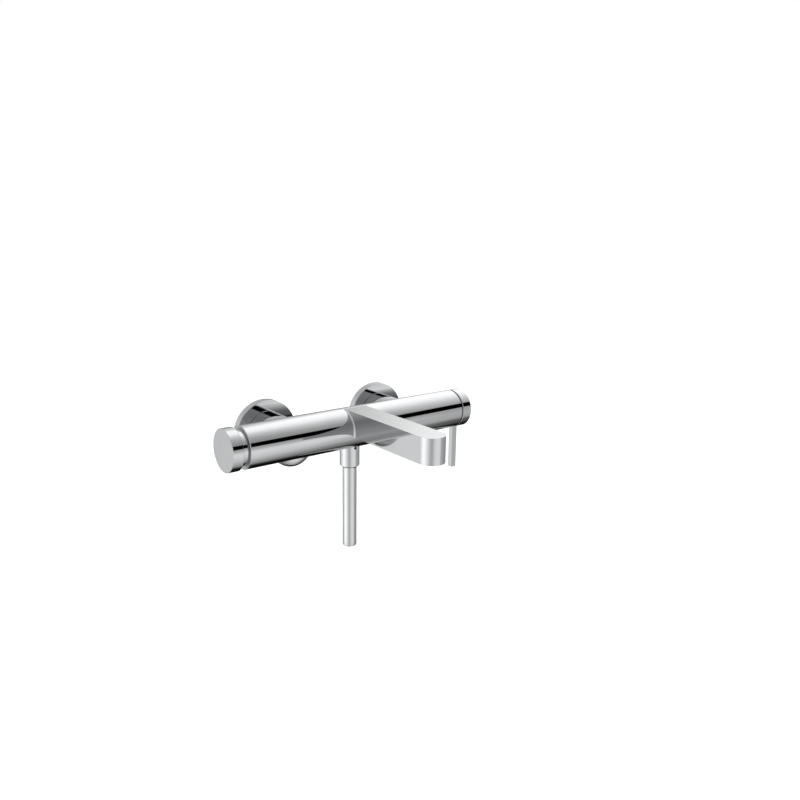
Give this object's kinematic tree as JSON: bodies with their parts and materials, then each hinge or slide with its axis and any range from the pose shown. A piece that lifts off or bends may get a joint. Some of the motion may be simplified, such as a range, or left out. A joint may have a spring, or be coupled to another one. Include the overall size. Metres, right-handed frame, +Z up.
{
  "type": "wall mounted bath faucet",
  "caption": "Wall mounted bath faucet: a horizontal round chrome body with a flat spout, pull diverter knob, hanging lever, wall unions with round flanges, and a short hose below.",
  "frame": {"origin": "on the wall plane, midway between the two inlet centres and at their height", "axes": "+X to the right along the body as a bather sees it, +Y into the wall, +Z up"},
  "size_m": [0.3105, 0.227, 0.166],
  "materials": {
    "chrome": "polished chrome plate",
    "brass": "machined brass",
    "white_plastic": "moulded acetal",
    "black_rubber": "moulded rubber",
    "steel": "machined stainless steel",
    "black_steel": "black oxide steel",
    "ceramic": "lapped ceramic",
    "hose_silver": "smooth satin silver hose skin"
  },
  "bodies": {
    "body": {"body_casting": "chrome", "spout": "chrome", "aerator_housing": "chrome", "hot_escutcheon": "chrome", "cold_escutcheon": "chrome", "hot_union_nut": "chrome", "cold_union_nut": "chrome", "hot_union_cover": "chrome", "cold_union_cover": "chrome", "outlet_collar": "chrome", "hose_nut": "chrome", "hot_union": "brass", "cold_union": "brass", "cartridge_nut": "brass", "outlet_nipple": "brass", "hose_insert": "brass", "aerator_insert": "white_plastic", "hot_check_valve": "white_plastic", "cold_check_valve": "white_plastic", "cartridge_body": "white_plastic", "diverter_cage": "white_plastic", "aerator_seal": "black_rubber", "hot_union_seal": "black_rubber", "cold_union_seal": "black_rubber", "hose_washer": "black_rubber", "diverter_spring": "steel", "diverter_bush": "steel", "collar_screw": "black_steel", "ceramic_fixed_disc": "ceramic", "hose_tube": "hose_silver"},
    "handle": {"ceramic_moving_disc": "ceramic", "cartridge_spindle": "brass", "handle_carrier": "chrome", "handle_cap": "chrome", "handle_screw": "steel", "pivot_pin": "steel"},
    "lever": {"lever_pin": "chrome"},
    "plunger": {"cartridge_plunger": "brass"},
    "diverter": {"diverter_knob": "chrome", "knob_screw": "steel", "diverter_spindle": "chrome", "diverter_spool": "black_rubber"},
    "hot_poppet": {"hot_check_poppet": "white_plastic"},
    "cold_poppet": {"cold_check_poppet": "white_plastic"}
  },
  "joints": [
    {"name": "handle_turn", "type": "hinge", "parent": "body", "child": "handle", "pos_m": [0.14, -0.067, 0.008], "axis": [1, 0, 0], "range_deg": [-45, 45]},
    {"name": "lever_lift", "type": "hinge", "parent": "handle", "child": "lever", "pos_m": [0.1472, -0.067, -0.007], "axis": [0, -1, 0], "range_deg": [0, 18]},
    {"name": "plunger_push", "type": "slide", "parent": "handle", "child": "plunger", "axis": [-1, 0, 0], "range_m": [0, 0.0042]},
    {"name": "diverter_pull", "type": "slide", "parent": "body", "child": "diverter", "axis": [-1, 0, 0], "range_m": [0, 0.009], "stiffness_N_per_m": 500, "springref_m": -0.002, "deforming": ["diverter_spring"]},
    {"name": "hot_check", "type": "slide", "parent": "body", "child": "hot_poppet", "axis": [0, -1, 0], "range_m": [0, 0.003], "stiffness_N_per_m": 20},
    {"name": "cold_check", "type": "slide", "parent": "body", "child": "cold_poppet", "axis": [0, -1, 0], "range_m": [0, 0.003], "stiffness_N_per_m": 20}
  ],
  "couplings": [
    {"joint": "plunger_push", "follows": "lever_lift", "m_per_rad": 0.013}
  ]
}
